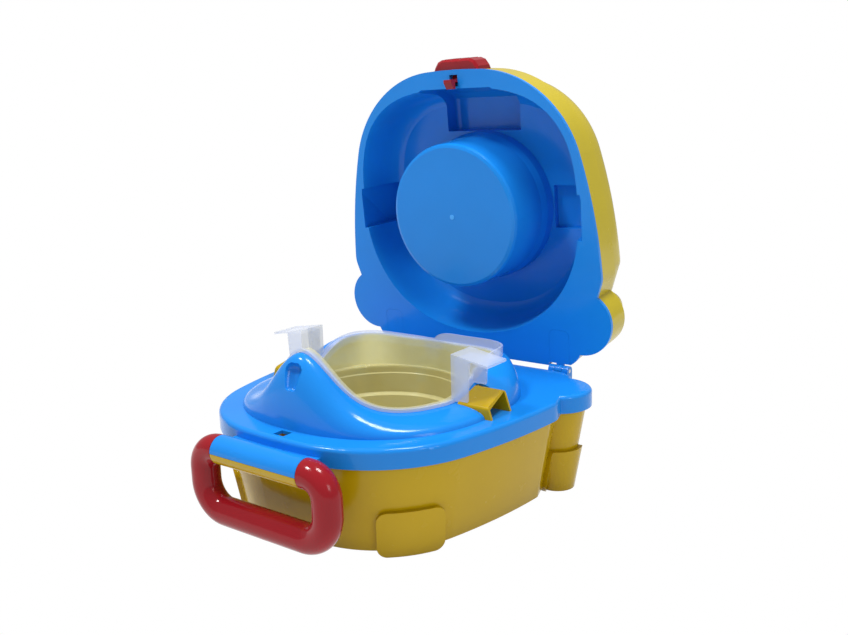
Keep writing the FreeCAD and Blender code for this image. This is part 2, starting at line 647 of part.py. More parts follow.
def shell_solid(shrink, base):
    """Lid shell's outer form, or its inside when shrunk by the wall."""
    low = outline_solid(0.5 + shrink, base, 1.5 + shrink, SHELL_SIDE - shrink)
    levels = [(SHELL_STEP, SHELL_SIDE - 8), (SHELL_STEP + 4, SHELL_DEPTH - 23),
              (SHELL_STEP + 6, SHELL_DEPTH - 9), (SHELL_STEP + 9.5, SHELL_DEPTH - 2.5),
              (SHELL_STEP + 13, SHELL_DEPTH)]
    upper = Part.makeLoft([body_wire(inset + shrink, z - shrink) for inset, z in levels], True, False)
    lobes = []
    for x in (-LOBE_X, LOBE_X):
        lobes.append(Part.makeCone(LOBE_R - SHELL_STEP - shrink, LOBE_R - SHELL_STEP - 12 - shrink,
                                   34 - shrink, Vector(x, -LOBE_Y, SHELL_SIDE - 2), UP))
    return low.fuse([upper] + lobes)


def make_lid_shell():
    base = SEAM + RIM_T + 0.02
    shell = shell_solid(0, base).cut(shell_solid(WALL, base - 1))
    return shell


def hinge_notch():
    """Room at a hinge for the ears of the deck, cut through the lid's back wall."""
    half = HINGE_W / 2 + 1.5
    return box(HINGE_X - half, HINGE_X + half, -BARREL_R - 1.4, 5, -1, BARREL_R + 2.5)


def make_hinge_plate():
    """Hinge leaf let into the lid's rim, with the barrel at its lower end."""
    half = HINGE_W / 2
    leaf = box(HINGE_X - half, HINGE_X + half, -PLATE_L, -BARREL_R - 1.6, SEAM, SEAM + PLATE_T)
    corners = edges_near(leaf, lambda e: abs(e.CenterOfMass.y + PLATE_L) < 0.1 and e.Length < PLATE_T + 1)
    leaf = leaf.makeFillet(PLATE_ROUND, corners)
    x0 = HINGE_X - BARREL_W / 2
    barrel = cyl(BARREL_R, Vector(x0, 0, 0), Vector(1, 0, 0), BARREL_W)
    neck = box(x0, x0 + BARREL_W, -BARREL_R - 1.6, 0, SEAM, SEAM + PLATE_T)
    bore = cyl(PIN_R + RUN, Vector(x0 - 1, 0, 0), Vector(1, 0, 0), BARREL_W + 2)
    return merged(leaf.fuse([barrel, neck]).cut(bore))


def plate_recess():
    half = HINGE_W / 2 + 0.15
    room = box(HINGE_X - half, HINGE_X + half, -PLATE_L - 0.15, 5, SEAM - 1, SEAM + PLATE_T + 0.02)
    return room.makeFillet(PLATE_ROUND, edges_near(room, lambda e: e.CenterOfMass.y < -PLATE_L
                                                   and e.Length < PLATE_T + 2))


# ---- latch, drawn with the lid closed --------------------------------------------------------
def make_latch_button():
    """Chunky press button in a window of the lid's front wall, with finger ridges."""
    half = BUTTON_W / 2
    back = -FRONT_Y + 0.5 + WALL
    front = -FRONT_Y - BUTTON_OUT
    low = SEAM + RIM_T + 0.6
    outline = [(-half, back), (-half, -FRONT_Y - 2), (-half + 4, front + 2.5), (-half + 10, front),
               (half - 10, front), (half - 4, front + 2.5), (half, -FRONT_Y - 2), (half, back)]
    corners = [Vector(x, y, low) for x, y in outline]
    body = Part.Face(Part.makePolygon(corners + corners[:1])).extrude(UP * BUTTON_H)
    rims = edges_near(body, lambda e: e.CenterOfMass.y < -FRONT_Y - 4
                      and abs(abs(e.CenterOfMass.z - low - BUTTON_H / 2) - BUTTON_H / 2) < 0.1)
    body = body.makeChamfer(2.5, rims)
    grooves = [cyl(2.2, Vector(x, front - 1.0, low - 1), UP, BUTTON_H + 2) for x in (-15.0, -5.0, 5.0, 15.0)]
    return body.cut(grooves)


def make_latch_hook():
    """Rocking hook on the latch pin; the catch points to the hinge."""
    half = HOOK_W / 2
    boss = cyl(4.0, Vector(-half, -LATCH_Y, LATCH_Z), Vector(1, 0, 0), HOOK_W)
    shank_y = -LATCH_Y + 0.8
    back = -FRONT_Y + 0.5 + WALL
    shank = slab([(shank_y - HOOK_T / 2, LATCH_Z), (shank_y - HOOK_T / 2, -HOOK_DROP),
                  (shank_y + HOOK_T / 2, -HOOK_DROP),
                  (shank_y + HOOK_T / 2 + CATCH, -HOOK_DROP + 4.0),
                  (shank_y + HOOK_T / 2 + CATCH, -DECK_T - 0.6),
                  (shank_y + HOOK_T / 2, -DECK_T - 0.6), (shank_y + HOOK_T / 2, LATCH_Z)], "x", -half, half)
    arm = slab([(-LATCH_Y - 2.0, LATCH_Z - 3), (back, LATCH_Z - 1), (back, LATCH_Z + 11),
                (-LATCH_Y + 1.0, LATCH_Z + 3)], "x", -half, half)
    bore = cyl(LATCH_PIN_R + RUN, Vector(-half - 1, -LATCH_Y, LATCH_Z), Vector(1, 0, 0), HOOK_W + 2)
    return merged(boss.fuse([shank, arm]).cut(bore))


def latch_ears():
    """Two ears inside the lid's front that carry the latch pin."""
    ears = []
    for x in (HOOK_W / 2 + FIT, -HOOK_W / 2 - FIT - 3.0):
        ear = box(x, x + 3.0, -LATCH_Y - 4.5, -LATCH_Y + 4.5, SEAM + RIM_T - 0.5, LATCH_Z + 4.5)
        ears.append(ear.cut(cyl(LATCH_PIN_R + TIGHT, Vector(x - 1, -LATCH_Y, LATCH_Z), Vector(1, 0, 0), 5.0)))
    return ears


def make_latch_pin():
    reach = HOOK_W / 2 + 14.0
    return cyl(LATCH_PIN_R, Vector(-HOOK_W / 2 - FIT - 3.0, -LATCH_Y, LATCH_Z), Vector(1, 0, 0),
               reach + HOOK_W / 2 + FIT + 3.0)


def make_latch_spring():
    """Torsion spring on the latch pin: a close-wound coil and its two legs."""
    start = HOOK_W / 2 + FIT + 3.0 + FIT
    coil = cyl(LATCH_PIN_R + 1.1, Vector(start, -LATCH_Y, LATCH_Z), Vector(1, 0, 0), 6.0)
    coil = coil.cut(cyl(LATCH_PIN_R + RUN, Vector(start - 1, -LATCH_Y, LATCH_Z), Vector(1, 0, 0), 8.0))
    low_leg = cyl(0.45, Vector(start + 0.6, -LATCH_Y + LATCH_PIN_R + 0.6, LATCH_Z), Vector(0, 0, -1),
                  LATCH_Z - SEAM - RIM_T)
    high_leg = cyl(0.45, Vector(start + 5.4, -LATCH_Y - LATCH_PIN_R - 0.6, LATCH_Z), UP, 11.0)
    return coil.fuse([low_leg, high_leg])


def latch_rim_slot():
    return box(-HOOK_W / 2 - FIT, HOOK_W / 2 + FIT, -LATCH_Y - 4.8, -LATCH_Y + 6.5, -1, SEAM + RIM_T + 1)


def latch_wall_window():
    half = BUTTON_W / 2 + 0.6
    return box(-half, half, -FRONT_Y - 2, -FRONT_Y + 6, SEAM + RIM_T, SEAM + RIM_T + BUTTON_H + 2.2)


# ---- handle ----------------------------------------------------------------------------------
def handle_path(end_x):
    """Centre line of one side: pivot end, elbow, leg, corner and half the grip."""
    e = LEG_X - ELBOW_R
    k = math.sqrt(0.5)
    p = [(end_x, BAR_Z), (e, BAR_Z), (e + ELBOW_R * k, BAR_Z - ELBOW_R * (1 - k)), (LEG_X, BAR_Z - ELBOW_R),
         (LEG_X, GRIP_Z + CORNER_R), (LEG_X - CORNER_R * (1 - k), GRIP_Z + CORNER_R * (1 - k)),
         (LEG_X - CORNER_R, GRIP_Z), (0, GRIP_Z)]
    q = [Vector(x, -BAR_Y, z) for x, z in p]
    edges = [Part.makeLine(q[0], q[1]), Part.Arc(q[1], q[2], q[3]).toShape(), Part.makeLine(q[3], q[4]),
             Part.Arc(q[4], q[5], q[6]).toShape(), Part.makeLine(q[6], q[7])]
    return Part.Wire(edges)


def handle_tube(radius, end_x):
    path = handle_path(end_x)
    disc = Part.Wire(Part.makeCircle(radius, Vector(end_x, -BAR_Y, BAR_Z), Vector(1, 0, 0)))
    side = path.makePipeShell([disc], True, False)
    return side.fuse(mirrored(side))


def handle_screw_spots():
    return [(-LEG_X, BAR_Z - 30), (0.0, GRIP_Z), (LEG_X, BAR_Z - 30)]


def make_handle_halves():
    end_x = BAR_HALF + 0.5
    tube = handle_tube(GRIP_R, end_x)
    hollow = handle_tube(GRIP_R - GRIP_WALL, end_x)
    keep = box(-LEG_X - 30, LEG_X + 30, -BAR_Y - 30, -BAR_Y + 30, GRIP_Z - 30, BAR_Z - 16)
    tube = tube.cut(hollow.common(keep))
    for x in (-36.0, -12.0, 12.0, 36.0):
        tube = tube.cut(cyl(13.0, Vector(x, -BAR_Y - 30, GRIP_Z - GRIP_R - 10.8), Vector(0, 1, 0), 60))
    for x, z in handle_screw_spots():
        tube = tube.fuse(cyl(4.2, Vector(x, -BAR_Y - GRIP_R + 1.5, z), Vector(0, 1, 0), 2 * GRIP_R - 3))
    bore = cyl(SPINDLE_R + RUN, Vector(end_x - 1, -BAR_Y, BAR_Z), Vector(1, 0, 0), 15)
    tube = tube.cut(Part.makeCompound(both(bore)))
    for x, z in handle_screw_spots():
        hole = cyl(1.5 + TIGHT, Vector(x, -BAR_Y - 8, z), Vector(0, 1, 0), 30)
        head = cyl(3.2, Vector(x, -BAR_Y + 7.5, z), Vector(0, 1, 0), 20)
        tube = tube.cut([hole, head])
    front_room = box(-120, 120, -BAR_Y - 40, -BAR_Y, GRIP_Z - 40, BAR_Z + 40)
    rear_room = box(-120, 120, -BAR_Y, -BAR_Y + 40, GRIP_Z - 40, BAR_Z + 40)
    return tube.common(front_room), tube.common(rear_room)


def make_handle_screws():
    screws = []
    for x, z in handle_screw_spots():
        shank = cyl(1.5, Vector(x, -BAR_Y - 8, z), Vector(0, 1, 0), 15.5)
        head = cyl(2.9, Vector(x, -BAR_Y + 7.5, z), Vector(0, 1, 0), 2.0)
        screws.append(shank.fuse(head))
    return Part.makeCompound(screws)


# ---- assembly ----------------------------------------------------------------------------------
def swung_open(shape):
    """The lid's pieces are drawn closed; this opens them about the hinge axis."""
    turned = shape.copy()
    turned.rotate(Vector(0, 0, 0), Vector(1, 0, 0), -OPEN_ANGLE)
    return turned


def build():
    base = {}
    deck = make_deck()
    base["seat_deck"] = deck
    base["base_tub"] = make_tub()
    channel = make_channel()
    base["finger_channel_right"] = channel
    base["finger_channel_left"] = mirrored(channel)
    base["bowl"] = make_bowl()
    pin = cyl(PIN_R, Vector(HINGE_X - HINGE_W / 2, 0, 0), Vector(1, 0, 0), HINGE_W)
    base["hinge_pin_right"] = pin
    base["hinge_pin_left"] = mirrored(pin)
    base["deck_screws"] = make_deck_screws()
    reach = BAR_HALF + 12.5
    base["handle_spindle"] = cyl(SPINDLE_R, Vector(-reach, -BAR_Y, BAR_Z), Vector(1, 0, 0), 2 * reach)

    lid = {}
    notches = both(hinge_notch())
    slots = notches + both(plate_recess()) + [latch_rim_slot()]
    liner = make_liner()
    for slot in slots:
        liner = liner.cut(slot)
    for ear in latch_ears():
        liner = liner.fuse(ear)
    lid["lid_liner"] = liner
    shell = make_lid_shell().cut(notches + [latch_wall_window()])
    lid["lid_shell"] = shell
    plate = make_hinge_plate()
    lid["hinge_plate_right"] = plate
    lid["hinge_plate_left"] = mirrored(plate)
    lid["latch_pin"] = make_latch_pin()
    lid["latch_spring"] = make_latch_spring()

    latch = {"latch_button": make_latch_button(), "latch_hook": make_latch_hook()}
    front, rear = make_handle_halves()
    handle = {"handle_front": front, "handle_rear": rear, "handle_screws": make_handle_screws()}

    parts = dict(base)
    parts.update({name: swung_open(shape) for name, shape in list(lid.items()) + list(latch.items())})
    parts.update(handle)
    # origin: on the floor, under the middle of the whole standing object
    whole = Part.makeCompound(list(parts.values())).optimalBoundingBox(False)
    move = Vector(0, -(whole.YMin + whole.YMax) / 2, -FLOOR)
    for shape in parts.values():
        shape.translate(move)
    return parts, move


def main():
    parts, move = build()
    os.makedirs("parts", exist_ok=True)
    for name, shape in parts.items():
        shape.exportStep("parts/%s.step" % name)


if __name__ == "__main__":
    main()
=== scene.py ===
"""Looks of a suitcase-style travel potty: finishes, small moulded details, screws and spring."""
import json
import math

import bpy
from mathutils import Matrix, Vector


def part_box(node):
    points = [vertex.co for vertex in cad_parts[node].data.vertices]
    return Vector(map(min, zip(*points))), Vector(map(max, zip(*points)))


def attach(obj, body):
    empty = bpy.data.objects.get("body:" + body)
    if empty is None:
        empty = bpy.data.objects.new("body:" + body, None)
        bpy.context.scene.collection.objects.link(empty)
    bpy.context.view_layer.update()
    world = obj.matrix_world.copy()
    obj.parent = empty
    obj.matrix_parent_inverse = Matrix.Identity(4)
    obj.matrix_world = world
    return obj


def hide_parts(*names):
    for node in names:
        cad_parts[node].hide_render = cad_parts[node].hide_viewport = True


bl_info = {
    "name": "Travel Potty Dressing",
    "version": (1, 0, 0),
    "blender": (4, 5, 0),
    "location": "View3D > Sidebar > Potty",
    "description": "Finishes and small details of a suitcase-style travel potty",
    "category": "Object",
}

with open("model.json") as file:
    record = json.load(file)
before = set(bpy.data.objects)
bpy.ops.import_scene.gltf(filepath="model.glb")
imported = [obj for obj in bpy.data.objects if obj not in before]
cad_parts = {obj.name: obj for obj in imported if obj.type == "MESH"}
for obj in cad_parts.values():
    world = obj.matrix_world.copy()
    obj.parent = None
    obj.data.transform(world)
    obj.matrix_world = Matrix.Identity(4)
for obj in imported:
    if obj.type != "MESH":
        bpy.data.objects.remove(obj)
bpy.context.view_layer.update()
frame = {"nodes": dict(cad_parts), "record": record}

MM = 0.001
PLASTIC_IOR = 1.49

# the plug's face in the lid when shut: ahead of the hinge, and under it
PLUG_AHEAD = 157 * MM
PLUG_UNDER = 20 * MM

# the bowl's mouth about its centre: half width, front reach, rear reach
MOUTH = (84.5 * MM, 96.0 * MM, 82.5 * MM)
MOUTH_EDGE = (0.98, 1.12)        # where the painted glow of the yellow tub starts to fade, and where it ends
REAR_POWER = 7.0                 # the mouth's outline is nearly square at the rear
FRONT_POWER = 2.0                # and an ellipse in front

# crossed screws: shares of the head's radius, except the sides and the twist
HEAD_TALL = 0.68
HEAD_CROWN = 0.72
CROSS_LONG = 1.1
CROSS_WIDE = 0.26
SHANK_THICK = 0.52
HEAD_SIDES = 32
SHANK_SIDES = 20
MOST_TWIST = 1.5                 # radians

# latch spring: distances from the pin's axis
RIM_LEG = (-3.6 * MM, -1.5 * MM)
BUTTON_LEG = (4.0 * MM, 10.5 * MM)
COIL_STEPS = 20                  # points in one turn of wire
OFF_THE_WIRE = (0.31, 0.17, 0.93)  # a direction that no stretch of the wire runs in

# moulding mark: shares of its height and of its radius, except the sides
GATE_SHOULDER = 0.6
GATE_TOP = 0.8
GATE_SIDES = 32

# stage
FLOOR_HALF = 4.0                 # metres
FLOOR_UNDER = 0.1 * MM           # keeps the floor clear of the feet's faces
# name, place, aim, size, watts
LAMPS = (("Key", (-0.7, -0.9, 2.0), (0, 0, 0.1), 0.4, 26.0),
         ("Top", (0.3, 0.1, 2.0), (0, 0, 0.1), 0.5, 24.0),
         ("Right", (1.6, -0.4, 0.9), (0, 0, 0.2), 0.5, 4.0))
SKY_COLOUR = (0.93, 0.96, 1.0, 1)
SKY_STRENGTH = 0.42
# the camera's place, and its turn in degrees: anticlockwise from a view along +Y, down, roll
EYE = (0.5212, -0.6646, 0.3512)
EYE_SWING = 36.59
EYE_DROP = 12.34
EYE_ROLL = -1.53
LENS = 38.25                     # millimetres, with a sensor 36 mm wide


# ---- settings ---------------------------------------------------------------------------------
class PottySettings(bpy.types.PropertyGroup):
    blue: bpy.props.FloatVectorProperty(
        name="Blue", description="Linear colour of the deck and of the lid's lining",
        subtype="COLOR", size=3, default=(0.010, 0.240, 0.74))
    yellow: bpy.props.FloatVectorProperty(
        name="Yellow", description="Linear colour of the tub and of the finger channels",
        subtype="COLOR", size=3, default=(0.53, 0.345, 0.002))
    lid_yellow: bpy.props.FloatVectorProperty(
        name="Lid yellow", description="Linear colour of the lid's outer shell",
        subtype="COLOR", size=3, default=(0.55, 0.43, 0.012))
    red: bpy.props.FloatVectorProperty(
        name="Red", description="Linear colour of the handle and the latch",
        subtype="COLOR", size=3, default=(0.31, 0.009, 0.015))
    roughness: bpy.props.FloatProperty(
        name="Roughness", description="Middle roughness of the moulded plastic",
        default=0.17, min=0.05, max=0.9)
    haze: bpy.props.FloatProperty(
        name="Haze", description="How much of the bowl's light is scattered, not let through",
        default=0.38, min=0.1, max=1.0)
    coil_turns: bpy.props.IntProperty(
        name="Turns", description="Turns of wire in the latch spring", default=6, min=2, max=12)
    coil_radius: bpy.props.FloatProperty(
        name="Coil radius", description="Radius of the latch spring's coil, to the wire's middle",
        subtype="DISTANCE", unit="LENGTH", default=2.15 * MM, min=1.9 * MM, max=2.4 * MM)
    wire_radius: bpy.props.FloatProperty(
        name="Wire radius", description="Radius of the latch spring's wire",
        subtype="DISTANCE", unit="LENGTH", default=0.4 * MM, min=0.2 * MM, max=0.5 * MM)
    gate_radius: bpy.props.FloatProperty(
        name="Gate radius", description="Radius of the moulding mark on the plug",
        subtype="DISTANCE", unit="LENGTH", default=2.6 * MM, min=1.0 * MM, max=6.0 * MM)
    gate_height: bpy.props.FloatProperty(
        name="Gate height", description="How far the moulding mark stands out of the plug",
        subtype="DISTANCE", unit="LENGTH", default=0.5 * MM, min=0.1 * MM, max=1.0 * MM)
    screw_seed: bpy.props.IntProperty(
        name="Screw seed", description="Seed of the screws' twist", default=4, min=0)


# ---- material helpers -------------------------------------------------------------------------
def new_material(name):
    material = bpy.data.materials.new(name)
    material.use_nodes = True
    tree = material.node_tree
    return material, tree, tree.nodes["Principled BSDF"]


def add(tree, kind, **values):
    node = tree.nodes.new(kind)
    for key, value in values.items():
        setattr(node, key, value)
    return node


def noise(tree, scale, detail=3.0):
    """Noise in the object's own coordinates, which are metres."""
    place = add(tree, "ShaderNodeTexCoord")
    texture = add(tree, "ShaderNodeTexNoise")
    texture.inputs["Scale"].default_value = scale
    texture.inputs["Detail"].default_value = detail
    tree.links.new(place.outputs["Object"], texture.inputs["Vector"])
    return texture.outputs["Fac"]


def spread(tree, value, low, high):
    """Maps the middle of a noise onto low to high."""
    remap = add(tree, "ShaderNodeMapRange")
    remap.inputs["From Min"].default_value = 0.3
    remap.inputs["From Max"].default_value = 0.7
    remap.inputs["To Min"].default_value = low
    remap.inputs["To Max"].default_value = high
    tree.links.new(value, remap.inputs["Value"])
    return remap.outputs["Result"]


def tinted(tree, bsdf, colour, scale, contrast):
    """Base colour with a faint cloudiness."""
    cloud = add(tree, "ShaderNodeMix", data_type="RGBA")
    cloud.inputs["A"].default_value = [c * (1 - contrast) for c in colour] + [1]
    cloud.inputs["B"].default_value = [min(1, c * (1 + contrast)) for c in colour] + [1]
    tree.links.new(spread(tree, noise(tree, scale), 0, 1), cloud.inputs["Factor"])
    tree.links.new(cloud.outputs["Result"], bsdf.inputs["Base Color"])


def grained(tree, bsdf, layers):
    """Bump from (scale, depth in metres) layers of noise."""
    normal = None
    for scale, depth in layers:
        bump = add(tree, "ShaderNodeBump")
        bump.inputs["Strength"].default_value = 0.6
        bump.inputs["Distance"].default_value = depth
        tree.links.new(noise(tree, scale, 4.0), bump.inputs["Height"])
        if normal:
            tree.links.new(normal, bump.inputs["Normal"])
        normal = bump.outputs["Normal"]
    tree.links.new(normal, bsdf.inputs["Normal"])


def moulded(name, colour, roughness):
    """Satin moulded polypropylene: cloudy colour, flow waviness and a fine spark grain."""
    material, tree, bsdf = new_material(name)
    tinted(tree, bsdf, colour, scale=18.0, contrast=0.03)
    tree.links.new(spread(tree, noise(tree, 60.0), roughness - 0.05, roughness + 0.07),
                   bsdf.inputs["Roughness"])
    grained(tree, bsdf, [(35.0, 0.0002), (900.0, 0.000004)])
    bsdf.inputs["IOR"].default_value = PLASTIC_IOR
    bsdf.inputs["Specular IOR Level"].default_value = 0.25
    bsdf.inputs["Coat Weight"].default_value = 0.1
    bsdf.inputs["Coat Roughness"].default_value = 0.05
    return material


def maths(tree, operation, first, second=None):
    """A math node on sockets or plain numbers."""
    node = add(tree, "ShaderNodeMath", operation=operation)
    for socket, value in zip(node.inputs, (first, second)):
        if isinstance(value, (int, float)):
            socket.default_value = value
        elif value is not None:
            tree.links.new(value, socket)
    return node.outputs[0]


def beyond_painted_glow(tree, middle, half, front, rear):
    """0 inside the bowl's mouth and 1 outside it, with middle as the mouth's centre along Y; it
    masks the painted glow of the yellow tub seen through the bowl.
    """
    place = add(tree, "ShaderNodeTexCoord")
    axes = add(tree, "ShaderNodeSeparateXYZ")
    tree.links.new(place.outputs["Object"], axes.inputs[0])
    back = maths(tree, "SUBTRACT", axes.outputs["Y"], middle)
    across = maths(tree, "DIVIDE", maths(tree, "ABSOLUTE", axes.outputs["X"]), half)
    along = maths(tree, "MAXIMUM", maths(tree, "DIVIDE", back, rear),
                  maths(tree, "DIVIDE", back, -front))
    behind = maths(tree, "GREATER_THAN", back, 0.0)
    power = maths(tree, "ADD", maths(tree, "MULTIPLY", behind, REAR_POWER - FRONT_POWER),
                  FRONT_POWER)
    total = maths(tree, "ADD", maths(tree, "POWER", across, power),
                  maths(tree, "POWER", along, power))
    edge = add(tree, "ShaderNodeMapRange")
    edge.inputs["From Min"].default_value = MOUTH_EDGE[0]
    edge.inputs["From Max"].default_value = MOUTH_EDGE[1]
    tree.links.new(total, edge.inputs["Value"])
    return edge.outputs["Result"]


def clear_moulded(name, haze, middle):
    """Cloudy clear polypropylene: pale on the flange and tabs, with a painted warm glow inside the
    mouth that stands for the yellow tub seen through.
    """
    material, tree, bsdf = new_material(name)
    # painted glow: the yellow tub's light seen through the bowl, painted as a warm colour with a
    # cloudy noise in it
    cloud = add(tree, "ShaderNodeMix", data_type="RGBA")
    cloud.inputs["A"].default_value = (0.90, 0.82, 0.36, 1)
    cloud.inputs["B"].default_value = (0.98, 0.92, 0.48, 1)
    tree.links.new(spread(tree, noise(tree, 25.0), 0, 1), cloud.inputs["Factor"])
    # the pale colour outside the mouth, the painted glow inside it
    painted_glow_mix = add(tree, "ShaderNodeMix", data_type="RGBA")
    painted_glow_mix.inputs["B"].default_value = (0.70, 0.76, 0.90, 1)
    tree.links.new(beyond_painted_glow(tree, middle, *MOUTH), painted_glow_mix.inputs["Factor"])
    tree.links.new(cloud.outputs["Result"], painted_glow_mix.inputs["A"])
    tree.links.new(painted_glow_mix.outputs["Result"], bsdf.inputs["Base Color"])
    tree.links.new(spread(tree, noise(tree, 50.0), 0.10, 0.20), bsdf.inputs["Roughness"])
    grained(tree, bsdf, [(40.0, 0.0003)])
    bsdf.inputs["IOR"].default_value = PLASTIC_IOR
    bsdf.inputs["Alpha"].default_value = haze
    return material


def steel(name, shade, roughness):
    """Drawn or plated steel with fine streaks."""
    material, tree, bsdf = new_material(name)
    tinted(tree, bsdf, (shade, shade, shade * 1.03), scale=400.0, contrast=0.08)
    tree.links.new(spread(tree, noise(tree, 900.0), roughness - 0.06, roughness + 0.1),
                   bsdf.inputs["Roughness"])
    grained(tree, bsdf, [(1200.0, 0.00001)])
    bsdf.inputs["Metallic"].default_value = 1.0
    return material


def finish_nodes(names, material):
    for name in names:
        mesh = frame["nodes"][name].data
        mesh.materials.clear()
        mesh.materials.append(material)


# ---- geometry helpers -------------------------------------------------------------------------
def add_mesh(name, points, faces, material, smooth=True):
    mesh = bpy.data.meshes.new(name)
    mesh.from_pydata(points, [], faces)
    mesh.validate()
    mesh.materials.append(material)
    for polygon in mesh.polygons:
        polygon.use_smooth = smooth
    piece = bpy.data.objects.new(name, mesh)
    bpy.context.collection.objects.link(piece)
    return piece


def islands(node):
    """(lowest, highest) corners of each separate solid of a CAD node."""
    mesh = node.data
    parent = list(range(len(mesh.vertices)))

    def root(i):
        while parent[i] != i:
            parent[i] = parent[parent[i]]
            i = parent[i]
        return i

    place = {}
    for vertex in mesh.vertices:
        key = tuple(round(c, 6) for c in vertex.co)
        parent[vertex.index] = place.setdefault(key, vertex.index)
    for edge in mesh.edges:
        a, b = root(edge.vertices[0]), root(edge.vertices[1])
        parent[a] = b
    groups = {}
    for vertex in mesh.vertices:
        groups.setdefault(root(vertex.index), []).append(node.matrix_world @ vertex.co)
    boxes = []
    for points in groups.values():
        low = Vector([min(p[i] for p in points) for i in range(3)])
        high = Vector([max(p[i] for p in points) for i in range(3)])
        boxes.append((low, high))
    return boxes


def tube(path, radius, sides=12):
    """Points and faces of a round wire along a path, closed at both ends."""
    points, faces = [], []
    for i, spot in enumerate(path):
        ahead = path[min(i + 1, len(path) - 1)] - path[max(i - 1, 0)]
        ahead.normalize()
        across = ahead.cross(Vector(OFF_THE_WIRE)).normalized()
        other = ahead.cross(across)
        for k in range(sides):
            turn = 2 * math.pi * k / sides
            points.append(spot + radius * (math.cos(turn) * across + math.sin(turn) * other))
    for i in range(len(path) - 1):
        for k in range(sides):
            a, b = i * sides + k, i * sides + (k + 1) % sides
            faces.append((a, b, b + sides, a + sides))
    faces.append(tuple(range(sides))[::-1])
    faces.append(tuple(range((len(path) - 1) * sides, len(path) * sides)))
    return points, faces


def lid_frame():
    """The middle of the plug's face with the lid shut, and the turn from shut to open."""
    joints = frame["record"]["behaviour"]["joints"]
    joint = next(j for j in joints if j["name"] == "lid_hinge")
    hinge = Vector(joint["pos_m"])
    turn = Matrix.Rotation(-math.radians(joint["range_deg"][1]), 4, "X")
    opened = Matrix.Translation(hinge) @ turn @ Matrix.Translation(-hinge)
    return hinge - Vector((0, PLUG_AHEAD, PLUG_UNDER)), opened


# ---- Geometry Nodes ---------------------------------------------------------------------------
def screw_group(material):
    """A screw with a crossed head on every point, heads towards the local +Z."""
    group = bpy.data.node_groups.new("Crossed screws", "GeometryNodeTree")
    sockets = group.interface
    sockets.new_socket("Points", in_out="INPUT", socket_type="NodeSocketGeometry")
    for label, value in (("Head radius", 0.0038), ("Head height", 0.0026),
                         ("Shank radius", 0.002), ("Shank length", 0.015)):
        socket = sockets.new_socket(label, in_out="INPUT", socket_type="NodeSocketFloat")
        socket.default_value = value
    sockets.new_socket("Turn", in_out="INPUT", socket_type="NodeSocketVector")
    sockets.new_socket("Seed", in_out="INPUT", socket_type="NodeSocketInt")
    sockets.new_socket("Screws", in_out="OUTPUT", socket_type="NodeSocketGeometry")

    def node(kind, **values):
        made = group.nodes.new(kind)
        for key, value in values.items():
            setattr(made, key, value)
        return made

    def link(a, b):
        group.links.new(a, b)

    entry, leave = node("NodeGroupInput"), node("NodeGroupOutput")

    def scaled(value, factor):
        product = node("ShaderNodeMath", operation="MULTIPLY")
        link(value, product.inputs[0])
        product.inputs[1].default_value = factor
        return product.outputs[0]

    def lifted(shape, height):
        shift = node("ShaderNodeCombineXYZ")
        link(height, shift.inputs["Z"])
        moved = node("GeometryNodeTransform")
        link(shape, moved.inputs["Geometry"])
        link(shift.outputs[0], moved.inputs["Translation"])
        return moved.outputs["Geometry"]

    head = node("GeometryNodeMeshCone")
    head.inputs["Vertices"].default_value = HEAD_SIDES
    link(scaled(entry.outputs["Head radius"], HEAD_CROWN), head.inputs["Radius Top"])
    link(entry.outputs["Head radius"], head.inputs["Radius Bottom"])
    link(entry.outputs["Head height"], head.inputs["Depth"])
    cutter = node("GeometryNodeJoinGeometry")
    for long_axis in ("X", "Y"):
        size = node("ShaderNodeCombineXYZ")
        for axis in "XYZ":
            factor = CROSS_LONG if axis == long_axis else CROSS_WIDE
            link(scaled(entry.outputs["Head radius"], factor), size.inputs[axis])
        bar = node("GeometryNodeMeshCube")
        link(size.outputs[0], bar.inputs["Size"])
        link(lifted(bar.outputs["Mesh"], entry.outputs["Head height"]), cutter.inputs[0])
    cut = node("GeometryNodeMeshBoolean", operation="DIFFERENCE")
    link(head.outputs["Mesh"], cut.inputs["Mesh 1"])
    link(cutter.outputs[0], cut.inputs["Mesh 2"])
    shank = node("GeometryNodeMeshCylinder")
    shank.inputs["Vertices"].default_value = SHANK_SIDES
    link(entry.outputs["Shank radius"], shank.inputs["Radius"])
    link(entry.outputs["Shank length"], shank.inputs["Depth"])
    screw = node("GeometryNodeJoinGeometry")
    link(cut.outputs["Mesh"], screw.inputs[0])
    half_down = scaled(entry.outputs["Shank length"], -0.5)
    link(lifted(shank.outputs["Mesh"], half_down), screw.inputs[0])
    twist = node("FunctionNodeRandomValue", data_type="FLOAT")
    twist.inputs["Min"].default_value = 0.0
    twist.inputs["Max"].default_value = MOST_TWIST
    link(entry.outputs["Seed"], twist.inputs["Seed"])
    spin = node("ShaderNodeCombineXYZ")
    link(twist.outputs["Value"], spin.inputs["Z"])
    place = node("GeometryNodeInstanceOnPoints")
    link(entry.outputs["Points"], place.inputs["Points"])
    link(screw.outputs[0], place.inputs["Instance"])
    link(entry.outputs["Turn"], place.inputs["Rotation"])
    rotate = node("GeometryNodeRotateInstances")
    link(place.outputs["Instances"], rotate.inputs["Instances"])
    link(spin.outputs[0], rotate.inputs["Rotation"])
    real = node("GeometryNodeRealizeInstances")
    link(rotate.outputs["Instances"], real.inputs["Geometry"])
    paint = node("GeometryNodeSetMaterial")
    paint.inputs["Material"].default_value = material
    link(real.outputs["Geometry"], paint.inputs["Geometry"])
    link(paint.outputs["Geometry"], leave.inputs["Screws"])
    return group


def socket_id(group, label):
    return next(s.identifier for s in group.interface.items_tree
                if s.name == label and getattr(s, "in_out", "") == "INPUT")


